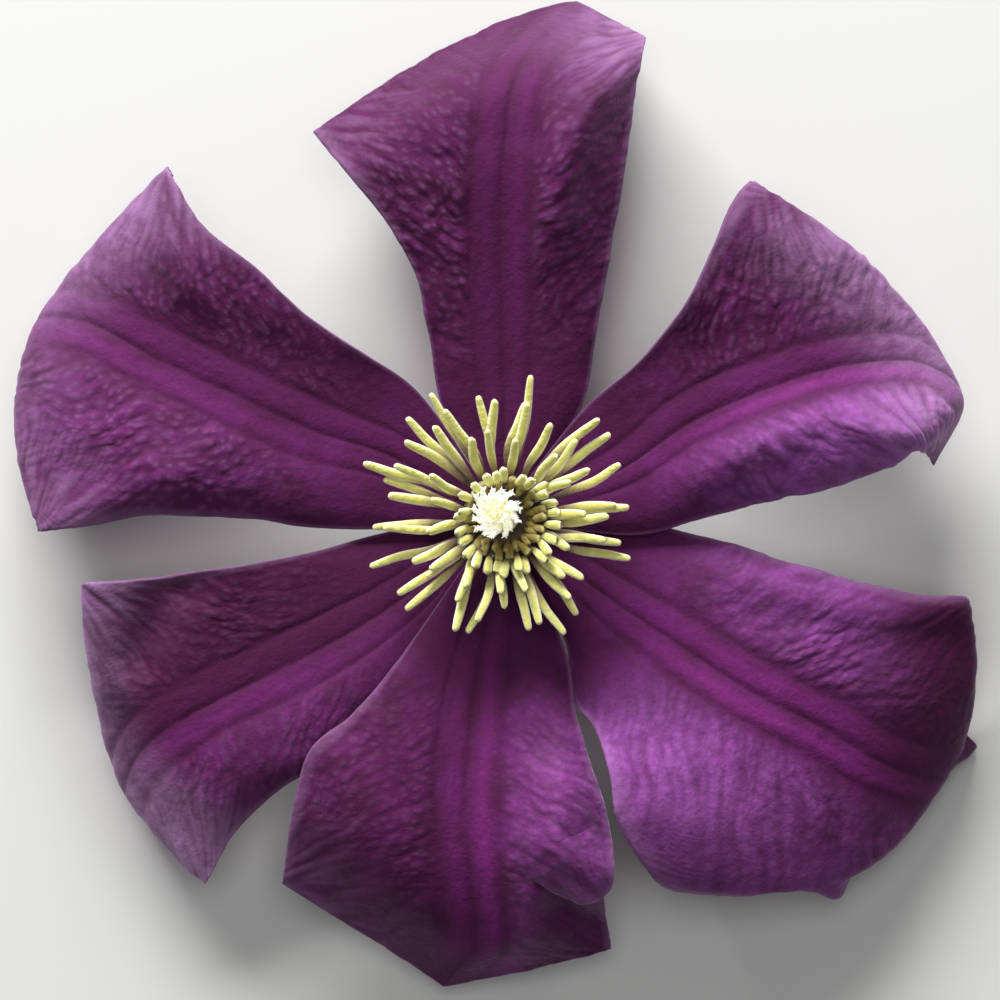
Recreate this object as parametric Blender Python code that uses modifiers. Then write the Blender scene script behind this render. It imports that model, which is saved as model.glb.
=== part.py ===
"""Clematis flower, picked with a short stalk and lying face up.

Metres, +Z up.  The origin lies on the surface that the flower rests on, under
the middle of its outline.  The flower faces +Z; three of its six tepals, the
outer whorl, touch the surface with their turned-down tips.

Each tepal is a grid laid over three guide curves (left margin, middle, right
margin), given at stations from the claw to the tip as distance out from the
flower's axis, distance to the side and height above the surface.
"""
import math
import random

import bmesh
import bpy
import numpy as np
from mathutils import Vector

MM = 0.001

# ---------------------------------------------------------------- dimensions
AXIS = (0.63, -2.43)         # flower's axis from the origin, mm
BLADE = 0.62                # tepal thickness
RIB_DEPTH = 0.16            # depth of the three grooves
STRIP_RISE = 0.09           # rise of the two strips between them

RECEPTACLE_R = 3.5          # the seat that carries every piece
RECEPTACLE_TOP = 12.3
STALK_R = 0.95

RING_R = 3.3                # ring that the stamens grow from
RING_HOLE_R = 1.75
RING_Z = (12.6, 13.6)
RING_BEVEL = 0.2
STAMEN_SEED = 11
LEAN = (-0.11, 0.09)        # of the stamens and styles, mm sideways for each mm of height

DOME_R = 1.40               # the pistils' own seat, through the ring's hole
DOME_Z = (12.6, 15.6)
STYLE_SEED = 5
STYLE_RINGS = ((15, 2.32, 19.3), (9, 1.4, 19.8), (4, 0.5, 20.0))      # how many, tip radius, tip height
STYLE_FOOT_Z = 14.9
STYLE_TURN = 26.0           # degrees that a style turns round the axis on its way out

# Columns across a tepal: the grooves run at -0.3, 0 and 0.3.
COLUMNS = (-1.0, -0.86, -0.72, -0.58, -0.44, -0.3, -0.2, -0.1, 0.0,
           0.1, 0.2, 0.3, 0.44, 0.58, 0.72, 0.86, 1.0)
ROWS = (0.0, 0.09, 0.18, 0.28, 0.38, 0.48, 0.57, 0.65, 0.72, 0.79, 0.855,
        0.91, 0.955, 1.0)

# By tepal, in mm and degrees: az, the azimuth of its middle; full, the fullness of
# the end at its left and right; ribs, how far the outer grooves lie from the middle
# one; teeth in the end margin (place across, reach outward and to the side, width
# across); folds (half width, rise, line through places out, across, that they grow
# along); and the stations (left) (middle) (right) with the rise of the two lobes.
TEPALS = {
    "tepal_top": dict(
        az=88, full=(1.42, 1.1), ribs=(3.0, 2.8), teeth=(),
        folds=((2.1, 1.9, ((19.0, -3.0), (33.0, -4.4), (39.0, -6.8), (45.6, -11.6))),),
        stations=(
            ((3.35, 2.3, 8.6), (3.86, 0.0, 8.6), (3.35, -2.3, 8.6), 0.0, 0.0),
            ((10.5, 6.2, 9.3), (11.0, 0.2, 9.6), (11.0, -7.1, 9.2), 0.2, 0.3),
            ((17.6, 7.6, 10.3), (19.0, 0.6, 11.0), (18.5, -8.2, 10.0), 0.5, 0.6),
            ((22.8, 9.1, 11.6), (27.0, 1.1, 12.6), (26.0, -9.3, 10.6), 0.6, 0.8),
            ((27.9, 12.2, 12.6), (35.0, 1.0, 13.8), (33.5, -10.3, 10.8), 0.6, 0.8),
            ((31.9, 15.7, 12.4), (42.5, -0.1, 11.8), (40.0, -10.9, 9.6), 0.9, 0.8),
            ((36.0, 19.3, 9.8), (50.0, -5.4, 0.08), (46.2, -12.0, 7.0), 0.2, 0.2))),
    "tepal_upper_right": dict(
        az=24, full=(2.0, 1.5), ribs=(3.0, 2.2), teeth=(),
        folds=((2.1, 1.4, ((12.0, -4.4), (25.0, -3.2), (31.0, -3.4), (34.8, -5.6), (38.2, -9.2))),),
        stations=(
            ((3.35, 2.3, 10.0), (3.86, 0.0, 10.0), (3.35, -2.3, 10.0), 0.0, 0.0),
            ((11.1, 6.3, 11.2), (12.0, -0.4, 11.0), (11.0, -6.6, 10.6), 0.0, 0.3),
            ((17.5, 8.2, 12.8), (20.0, 1.0, 12.2), (17.8, -7.7, 11.4), -0.2, 1.0),
            ((22.8, 10.8, 14.2), (28.0, 1.0, 12.9), (24.5, -8.8, 12.0), -0.4, 1.9),
            ((27.5, 14.4, 15.0), (35.5, 0.0, 12.4), (31.0, -10.1, 12.2), 0.0, 2.6),
            ((31.4, 18.1, 14.6), (42.0, -2.6, 10.8), (36.0, -10.4, 12.0), 0.8, 2.4),
            ((34.2, 19.5, 13.0), (44.6, -7.4, 7.6), (38.4, -9.9, 11.2), 1.0, 1.8),
            ((35.2, 18.4, 10.4), (40.0, -12.2, 2.4), (38.8, -9.7, 8.6), 0.4, 0.2))),
    "tepal_lower_right": dict(
        az=-33, full=(1.75, 3.4), ribs=(3.0, 3.0),
        teeth=((-0.72, (1.4, -1.2), 0.035), (-0.80, (-2.3, 0.3), 0.045), (0.14, (1.5, 0.3), 0.045)),
        folds=((2.4, 1.6, ((15.0, 5.6), (29.0, 10.6), (36.0, 13.0), (40.2, 16.4))),),
        stations=(
            ((3.35, 2.3, 8.6), (3.86, 0.0, 8.6), (3.35, -2.3, 8.6), 0.0, 0.0),
            ((11.5, 6.8, 8.9), (12.0, -0.9, 9.6), (11.3, -6.5, 9.2), 0.3, 0.3),
            ((17.0, 8.8, 9.0), (20.0, -1.0, 10.8), (14.6, -10.6, 10.2), 0.6, 0.8),
            ((23.5, 10.8, 9.0), (28.0, -1.0, 11.6), (18.3, -12.1, 12.0), 1.0, 0.6),
            ((30.0, 12.7, 9.0), (36.0, -0.2, 11.2), (21.7, -14.9, 13.4), 1.1, 0.3),
            ((36.0, 14.9, 8.8), (43.5, 0.2, 9.0), (25.0, -18.4, 13.4), 1.0, 0.5),
            ((40.8, 17.6, 8.0), (48.8, 2.2, 4.6), (30.5, -20.8, 11.2), 0.6, 0.6),
            ((41.4, 16.6, 6.0), (49.0, 4.6, 0.0), (33.0, -20.9, 8.4), 0.2, 0.3))),
    "tepal_bottom": dict(
        az=-96, full=(1.05, 0.95), ribs=(3.0, 3.0), teeth=(),
        folds=((2.6, 1.9, ((20.0, 8.0), (30.0, 7.8), (32.6, 12.2))),
               (1.9, -3.2, ((35.2, 6.4), (36.3, 9.6), (37.8, 15.0)))),
        stations=(
            ((3.35, 2.3, 10.0), (3.86, 0.0, 10.0), (3.35, -2.3, 10.0), 0.0, 0.0),
            ((12.0, 7.2, 11.0), (12.0, -0.6, 11.0), (11.4, -6.7, 10.8), 0.4, 0.3),
            ((18.0, 8.8, 12.0), (20.0, -0.9, 12.2), (15.5, -9.1, 11.8), 1.0, 0.7),
            ((23.5, 11.2, 12.8), (28.0, -0.6, 12.8), (19.8, -12.1, 12.4), 1.8, 1.0),
            ((29.0, 13.4, 13.0), (34.5, 0.6, 12.0), (23.8, -15.8, 12.6), 2.2, 1.2),
            ((34.5, 13.3, 11.4), (40.5, 1.6, 9.0), (29.8, -16.9, 11.4), 1.6, 1.0),
            ((40.0, 14.6, 6.0), (45.3, -1.0, 3.0), (36.8, -17.3, 8.6), 0.3, 0.2))),
    "tepal_lower_left": dict(
        az=213, full=(1.5, 1.25), ribs=(3.0, 3.0), teeth=((-1.0, (0.4, -0.5), 0.06),),
        folds=((1.7, 1.0, ((41.4, -3.0), (40.2, -7.0), (38.2, -11.2), (36.8, -15.6))),
               (2.6, -1.2, ((25.0, -9.5), (31.0, -12.0), (36.0, -8.0)))),
        stations=(
            ((3.35, 2.3, 8.6), (3.86, 0.0, 8.6), (3.35, -2.3, 8.6), 0.0, 0.0),
            ((11.0, 6.5, 9.2), (12.0, 1.2, 9.6), (11.0, -5.2, 9.2), 0.2, 0.3),
            ((18.0, 8.3, 9.8), (20.0, 1.1, 10.6), (16.5, -7.0, 10.8), 0.6, 0.2),
            ((24.5, 9.9, 10.2), (28.0, 0.2, 11.2), (22.0, -9.2, 12.0), 0.9, 0.1),
            ((31.0, 10.0, 10.0), (35.5, -0.5, 10.6), (27.8, -11.9, 12.8), 1.2, 0.0),
            ((37.5, 11.1, 8.8), (41.2, 0.0, 8.4), (33.0, -14.4, 12.4), 1.0, 0.2),
            ((42.6, 13.7, 6.4), (44.7, 2.6, 4.4), (36.7, -16.5, 10.4), 0.4, 0.3),
            ((42.9, 13.4, 4.6), (43.2, 4.4, 0.0), (36.7, -15.8, 8.4), 0.1, 0.1))),
    "tepal_upper_left": dict(
        az=154.5, full=(2.2, 1.1), ribs=(3.0, 3.0), teeth=((-0.90, (-0.5, 0.0), 0.07),),
        folds=((1.8, 1.6, ((31.0, -5.2), (36.0, -7.0), (39.5, -10.3), (42.4, -15.2))),
               (2.6, 1.4, ((25.0, 6.0), (38.0, 18.5)))),
        stations=(
            ((3.35, 2.3, 10.0), (3.86, 0.0, 10.0), (3.35, -2.3, 10.0), 0.0, 0.0),
            ((11.0, 6.4, 10.6), (12.0, -0.7, 11.0), (12.1, -7.2, 11.4), 0.3, 0.0),
            ((17.0, 8.9, 11.2), (20.0, 0.3, 12.0), (18.0, -8.3, 13.0), 0.9, -0.2),
            ((22.6, 10.7, 11.8), (28.0, 0.4, 12.6), (25.0, -9.3, 14.2), 1.6, -0.2),
            ((28.2, 13.0, 12.0), (36.0, 0.5, 12.2), (31.2, -11.3, 14.4), 2.0, 0.2),
            ((33.6, 16.4, 11.4), (43.6, 0.2, 10.0), (37.6, -12.8, 13.0), 1.8, 0.4),
            ((38.8, 19.9, 9.6), (48.2, 2.0, 6.0), (42.9, -16.2, 10.4), 0.6, 0.4),
            ((38.6, 18.8, 7.0), (45.6, 4.0, 1.8), (42.4, -15.9, 9.0), 0.1, 0.1))),
}

TEPAL_COLORS = {
    "tepal_top": (0.085, 0.008, 0.105),
    "tepal_upper_right": (0.095, 0.009, 0.115),
    "tepal_lower_right": (0.100, 0.009, 0.115),
    "tepal_bottom": (0.100, 0.009, 0.115),
    "tepal_lower_left": (0.075, 0.007, 0.095),
    "tepal_upper_left": (0.090, 0.008, 0.110),
}


# ------------------------------------------------------------------- helpers
def material(name, color, roughness):
    mat = bpy.data.materials.new(name)
    mat.use_nodes = True
    shader = mat.node_tree.nodes["Principled BSDF"]
    shader.inputs["Base Color"].default_value = (*color, 1.0)
    shader.inputs["Roughness"].default_value = roughness
    shader.inputs["Metallic"].default_value = 0.0
    mat.diffuse_color = (*color, 1.0)
    return mat


def add_object(name, mesh, mat, collection, parent=None):
    obj = bpy.data.objects.new(name, mesh)
    collection.objects.link(obj)
    if mat is not None:
        mesh.materials.append(mat)
    if parent is not None:
        obj.parent = parent
    return obj


def evaluated_mesh(obj, name):
    """The object's mesh with its modifiers applied."""
    bpy.context.view_layer.update()
    graph = bpy.context.evaluated_depsgraph_get()
    return bpy.data.meshes.new_from_object(obj.evaluated_get(graph), depsgraph=graph)


def step_up(x, low, high):
    t = np.clip((x - low) / (high - low), 0.0, 1.0)
    return t * t * (3.0 - 2.0 * t)


# ------------------------------------------------------------------- tepals
def along_stations(values, t):
    """Smooth curve through the rows of values, read at t (counted in stations)."""
    n = len(values)
    ends = np.vstack([2 * values[0] - values[1], values, 2 * values[-1] - values[-2]])
    i = np.clip(np.floor(t).astype(int), 0, n - 2)
    f = (t - i)[..., None]
    p0, p1, p2, p3 = ends[i], ends[i + 1], ends[i + 2], ends[i + 3]
    return p1 + 0.5 * f * (p2 - p0 + f * (2 * p0 - 5 * p1 + 4 * p2 - p3 + f * (3 * (p1 - p2) + p3 - p0)))


def nearest_on(line, out, across):
    """Distance from the places out, across to a line, and how far along it (0..1) the nearest point is."""
    gap = np.full(np.shape(out), np.inf)
    run = np.zeros(np.shape(out))
    done = 0.0
    for (a0, c0), (a1, c1) in zip(line, line[1:]):
        length = math.hypot(a1 - a0, c1 - c0)
        t = np.clip(((out - a0) * (a1 - a0) + (across - c0) * (c1 - c0)) / length ** 2, 0.0, 1.0)
        away = np.hypot(out - a0 - t * (a1 - a0), across - c0 - t * (c1 - c0))
        run = np.where(away < gap, done + t * length, run)
        gap = np.minimum(gap, away)
        done += length
    return gap, run / done


def tepal_sheet(spec, u, v):
    """Points of the tepal's middle surface, mm: u 0..1 outward, v -1..1 across."""
    rows = np.array([[*l, *m, *r, kl, kr] for l, m, r, kl, kr in spec["stations"]], float)
    q = along_stations(rows, u * (len(rows) - 1))
    left = v >= 0
    side = np.where(left[..., None], q[..., 0:3], q[..., 6:9])
    mid = q[..., 3:6]
    lobe = np.where(left, q[..., 9], q[..., 10])
    full = np.where(left, *spec["full"])
    power = 2.0 + (full - 2.0) * step_up(u, 0.6, 1.0)
    span = np.abs(side[..., 1] - mid[..., 1])
    rib = np.where(left, *spec["ribs"]) * (0.55 + 0.45 * step_up(u, 0.0, 0.35))
    groove = np.clip(rib / np.maximum(span, 1e-6), 0.0, 0.42)
    w = np.abs(v)
    s = np.where(w < 0.3, w / 0.3 * groove, groove + (w - 0.3) / 0.7 * (1.0 - groove))
    out = mid[..., 0] + (side[..., 0] - mid[..., 0]) * s ** power
    across = mid[..., 1] + (side[..., 1] - mid[..., 1]) * s
    height = (mid[..., 2] + (side[..., 2] - mid[..., 2]) * s ** (2.0 - 0.6 * step_up(u, 0.7, 1.0))
              + lobe * 6.75 * s * s * (1.0 - s))
    for place, (reach, slide), width in spec["teeth"]:
        tooth = np.exp(-((v - place) / width) ** 2) * step_up(u, 0.86, 1.0)
        out = out + reach * tooth
        across = across + slide * tooth
    for width, rise, line in spec["folds"]:
        gap, run = nearest_on(line, out, across)
        height = height + rise * step_up(run, 0.0, 0.4) * np.exp(-(gap / width) ** 2)
    return np.stack([out, across, height], -1)


def tepal_points(spec, u, v):
    """The sheet with its grooves and raised strips, off the sheet's own normal."""
    e = 1e-3
    du = tepal_sheet(spec, u + e, v) - tepal_sheet(spec, u - e, v)
    dv = tepal_sheet(spec, u, v + e) - tepal_sheet(spec, u, v - e)
    normal = np.cross(du, dv)
    normal /= np.linalg.norm(normal, axis=-1, keepdims=True)
    w = np.abs(v)
    relief = (-RIB_DEPTH * (np.exp(-(w / 0.05) ** 2) + np.exp(-((w - 0.3) / 0.05) ** 2))
              + STRIP_RISE * np.exp(-((w - 0.15) / 0.08) ** 2))
    relief = relief * step_up(u, 0.02, 0.15) * (1.0 - 0.8 * step_up(u, 0.78, 0.92))
    return tepal_sheet(spec, u, v) + normal * relief[..., None]


def build_tepal(name, spec, collection, parent):
    nu, nv = len(ROWS) - 1, len(COLUMNS) - 1
    bm = bmesh.new()
    bmesh.ops.create_grid(bm, x_segments=nu, y_segments=nv, size=0.5)
    bm.verts.ensure_lookup_table()
    grid = np.array([v.co[:2] for v in bm.verts]) + 0.5
    u = np.interp(grid[:, 0], np.linspace(0, 1, nu + 1), ROWS)
    v = np.interp(grid[:, 1], np.linspace(0, 1, nv + 1), COLUMNS)
    for vert, point in zip(bm.verts, tepal_points(spec, u, v)):
        vert.co = Vector(point) * MM
    bmesh.ops.triangulate(bm, faces=bm.faces[:], quad_method="SHORT_EDGE")
    mesh = bpy.data.meshes.new(name)
    bm.to_mesh(mesh)
    bm.free()
    obj = add_object(name, mesh, material(name, TEPAL_COLORS[name], 0.75), collection, parent)
    obj.rotation_euler = (0.0, 0.0, math.radians(spec["az"]))
    solid = obj.modifiers.new("blade", "SOLIDIFY")
    solid.thickness = BLADE * MM
    solid.offset = 0.0
    # the lowest tip is pressed to a small flat on the surface
    flat = evaluated_mesh(obj, name)
    flat.name = name + "_blade"
    for vert in flat.vertices:
        vert.co.z = max(vert.co.z, 0.0)
    obj.modifiers.clear()
    obj.data = flat
    flat.shade_smooth()
    flat.set_sharp_from_angle(angle=math.radians(50))
    bpy.data.meshes.remove(mesh)
    return obj


# ------------------------------------------------- stamens, styles and stalk
def strand(name, points, radii, collection, sides=4):
    """A slim closed tube along points: a bevelled curve made a mesh."""
    curve = bpy.data.curves.new(name, "CURVE")
    curve.dimensions = "3D"
    curve.bevel_depth = MM
    curve.bevel_resolution = (sides - 4) // 2
    curve.use_fill_caps = True
    spline = curve.splines.new("POLY")
    spline.points.add(len(points) - 1)
    for knot, point, radius in zip(spline.points, points, radii):
        knot.co = (*(Vector(point) * MM), 1.0)
        knot.radius = radius
    temp = bpy.data.objects.new(name + "_curve", curve)
    collection.objects.link(temp)
    mesh = evaluated_mesh(temp, name)
    bpy.data.objects.remove(temp)
    bpy.data.curves.remove(curve)
    bm = bmesh.new()
    bm.from_mesh(mesh)
    bmesh.ops.remove_doubles(bm, verts=bm.verts, dist=1e-6)
    bmesh.ops.recalc_face_normals(bm, faces=bm.faces)
    bm.to_mesh(mesh)
    bm.free()
    return add_object(name, mesh, None, collection)


def polar(r, degrees, z):
    a = math.radians(degrees)
    return (r * math.cos(a), r * math.sin(a), z)


def leant(r, degrees, z, share=1.0):
    """A place in the flower's heart, which leans a little to one side."""
    x, y, z = polar(r, degrees, z)
    rise = share * (z - RING_Z[0])
    return (x + LEAN[0] * rise, y + LEAN[1] * rise, z)


def fuse(body, pieces, solver):
    """One union of the body with every piece in the collection, then applied."""
    union = body.modifiers.new("grown_together", "BOOLEAN")
    union.operation = "UNION"
    union.operand_type = "COLLECTION"
    union.collection = pieces
    union.solver = solver
    joined = evaluated_mesh(body, body.name)
    body.modifiers.clear()
    old = body.data
    body.data = joined
    bpy.data.meshes.remove(old)
    for piece in list(pieces.objects):
        mesh = piece.data
        bpy.data.objects.remove(piece)
        bpy.data.meshes.remove(mesh)
    bpy.data.collections.remove(pieces)


def turned(name, profile, steps, collection, mat, closed=False):
    """A solid of revolution about Z from (radius, height) pairs, outside top to bottom."""
    mesh = bpy.data.meshes.new(name)
    edges = [(i, i + 1) for i in range(len(profile) - 1)]
    if closed:
        edges.append((len(profile) - 1, 0))
    mesh.from_pydata([(r * MM, 0.0, z * MM) for r, z in profile], edges, [])
    obj = add_object(name, mesh, mat, collection)
    screw = obj.modifiers.new("turn", "SCREW")
    screw.steps = steps
    screw.render_steps = steps
    screw.use_merge_vertices = True
    screw.merge_threshold = 1e-6
    return obj


# whorl: how many, tip radius and its spread, tip height and its spread, root radius, first azimuth,
# arc and jitter in degrees, half width of the anther, share of the lean
STAMEN_WHORLS = (
    (22, 12.1, 1.4, 16.6, 0.6, 2.95, 4.0, 360.0, 5.0, 0.42, 0.9),
    (22, 9.9, 1.2, 17.6, 0.5, 2.75, 11.0, 360.0, 5.0, 0.43, 0.9),
    (15, 7.5, 0.9, 18.0, 0.4, 2.75, 2.0, 360.0, 7.0, 0.43, 0.5),
    (26, 4.4, 0.35, 18.1, 0.6, 2.92, 8.0, 360.0, 4.0, 0.37, -0.7),
    (18, 3.35, 0.2, 17.3, 0.3, 2.35, 0.0, 360.0, 5.0, 0.36, -0.3),
    (9, 2.5, 0.15, 16.5, 0.3, 2.2, -125.0, 180.0, 5.0, 0.34, -0.5),
)


def stamen_paths():
    """The middle line and radii of every stamen, root first."""
    rng = random.Random(STAMEN_SEED)
    for row in STAMEN_WHORLS:
        count, reach, reach_spread, top, top_spread, root, first, arc, jitter, half, share = row
        for i in range(count):
            az = first + arc * i / count + rng.uniform(-jitter, jitter)
            tip_r = reach + rng.uniform(-reach_spread, reach_spread)
            tip_z = top + rng.uniform(-top_spread, top_spread)
            bend = rng.uniform(-6.0, 6.0)
            low = RING_Z[1] - 0.5
            path = []
            for f in (0.0, 0.42, 0.94, 1.0):
                r = root + (tip_r - root) * f
                rise = 1.0 - (1.0 - f) ** 1.9
                path.append(leant(r, az + bend * f * f, low + (tip_z - low) * rise, share))
            yield path, (0.20, 0.34, half, 0.55 * half)


def build_stamens(collection, parent):
    mat = material("stamens", (0.74, 0.70, 0.26), 0.6)
    low, high = RING_Z
    profile = [(RING_HOLE_R, high), (RING_R - RING_BEVEL, high), (RING_R, high - RING_BEVEL), (RING_R, low),
               (RING_HOLE_R, low)]
    ring = turned("stamens", profile, 20, collection, mat, closed=True)
    pieces = bpy.data.collections.new("stamen_pieces")
    bpy.context.scene.collection.children.link(pieces)
    for i, (path, radii) in enumerate(stamen_paths()):
        strand("stamen_%02d" % i, path, radii, pieces)
    fuse(ring, pieces, "MANIFOLD")
    ring.parent = parent
    return ring


def style_paths():
    """Styles stand up from the dome and turn outward and round like a swirl."""
    rng = random.Random(STYLE_SEED)
    for count, reach, top in STYLE_RINGS:
        for i in range(count):
            az = 360.0 * i / count + rng.uniform(-6, 6)
            tip_r = reach + rng.uniform(-0.2, 0.2)
            root = min(1.0, reach * 0.5)
            tip_z = top + rng.uniform(-0.3, 0.3)
            path = []
            for f, rise in ((0.0, 0.0), (0.25, 0.55), (0.6, 0.92), (1.0, 1.0)):
                height = STYLE_FOOT_Z + (tip_z - STYLE_FOOT_Z) * rise
                path.append(leant(root + (tip_r - root) * f, az - STYLE_TURN * f, height))
            yield path, (0.30, 0.30, 0.27, 0.10)


def build_pistils(collection, parent):
    mat = material("pistils", (0.86, 0.86, 0.62), 0.8)
    low, high = DOME_Z
    dome = turned("pistils", [(0.0, high), (0.75, high - 0.15), (1.15, high - 0.6), (DOME_R, high - 1.4),
                              (DOME_R, low), (0.0, low)], 14, collection, mat)
    pieces = bpy.data.collections.new("style_pieces")
    bpy.context.scene.collection.children.link(pieces)
    for i, (path, radii) in enumerate(style_paths()):
        strand("style_%02d" % i, path, radii, pieces)
    fuse(dome, pieces, "MANIFOLD")
    dome.parent = parent
    return dome


def build_pedicel(collection, parent):
    mat = material("pedicel", (0.12, 0.16, 0.05), 0.55)
    path = ((0.0, 0.0, RECEPTACLE_TOP), (0.0, 0.0, 12.0), (0.0, 0.0, 10.2), (0.0, 0.0, 8.1),
            (0.05, -0.2, 7.2), (0.2, -0.7, 6.4), (0.5, -1.7, 5.2), (1.0, -3.3, 4.1), (1.7, -5.4, 3.2),
            (2.6, -7.9, 2.5), (3.6, -10.6, 2.0), (4.6, -13.2, 1.75), (5.5, -15.6, 1.7))
    seat = (RECEPTACLE_R - 0.3, RECEPTACLE_R, RECEPTACLE_R, RECEPTACLE_R)
    radii = seat + (2.5, 1.7, 1.3, 1.1) + (STALK_R,) * 5
    stalk = strand("pedicel", path, radii, collection, sides=14)
    stalk.data.materials.append(mat)
    stalk.parent = parent
    return stalk


def main():
    for obj in list(bpy.data.objects):
        bpy.data.objects.remove(obj)
    flower = bpy.data.collections.new("clematis_flower")
    bpy.context.scene.collection.children.link(flower)
    axis = bpy.data.objects.new("flower_axis", None)
    axis.location = (AXIS[0] * MM, AXIS[1] * MM, 0.0)
    flower.objects.link(axis)
    for name, spec in TEPALS.items():
        build_tepal(name, spec, flower, axis)
    build_stamens(flower, axis)
    build_pistils(flower, axis)
    build_pedicel(flower, axis)


main()
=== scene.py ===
"""Looks of the clematis flower: velvet tepals, stamens, feathery styles, stalk, floor, light and camera.

Lengths are in mm until add_piece makes a mesh of them; the materials and the studio are in metres.  A place
on a tepal is given as u, 0..1 from the claw to the end, and v, -1..1 across, with its left lobe above 0.
"""

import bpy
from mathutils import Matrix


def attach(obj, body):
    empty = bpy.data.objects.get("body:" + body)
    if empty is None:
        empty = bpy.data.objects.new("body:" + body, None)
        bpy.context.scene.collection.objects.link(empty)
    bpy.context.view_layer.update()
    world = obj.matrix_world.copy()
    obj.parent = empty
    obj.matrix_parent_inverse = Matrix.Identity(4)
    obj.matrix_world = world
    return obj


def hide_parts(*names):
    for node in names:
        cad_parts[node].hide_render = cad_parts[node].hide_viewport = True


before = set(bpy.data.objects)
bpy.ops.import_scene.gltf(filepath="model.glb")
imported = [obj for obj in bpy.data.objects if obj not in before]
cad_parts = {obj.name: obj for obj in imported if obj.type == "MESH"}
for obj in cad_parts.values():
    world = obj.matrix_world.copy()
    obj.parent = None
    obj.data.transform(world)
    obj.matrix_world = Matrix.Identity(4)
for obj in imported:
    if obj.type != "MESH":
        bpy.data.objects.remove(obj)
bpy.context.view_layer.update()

import math
import random

import bmesh
import bpy
import numpy as np
from mathutils import Vector

MM = 0.001
AXIS = (0.63, -2.43)        # flower's axis from the origin
LEAN = (-0.11, 0.09)        # of the stamens and styles, mm sideways for each mm of height

RING_R = 3.3                # ring that the stamens grow from
RING_HOLE_R = 1.75
RING_Z = (12.6, 13.6)
DOME_R = 1.40               # the styles' own seat, through the ring's hole
DOME_Z = (12.6, 15.6)
RECEPTACLE_R = 3.5          # the seat that carries every piece
RECEPTACLE_TOP = 12.3
STALK_R = 0.95

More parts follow.
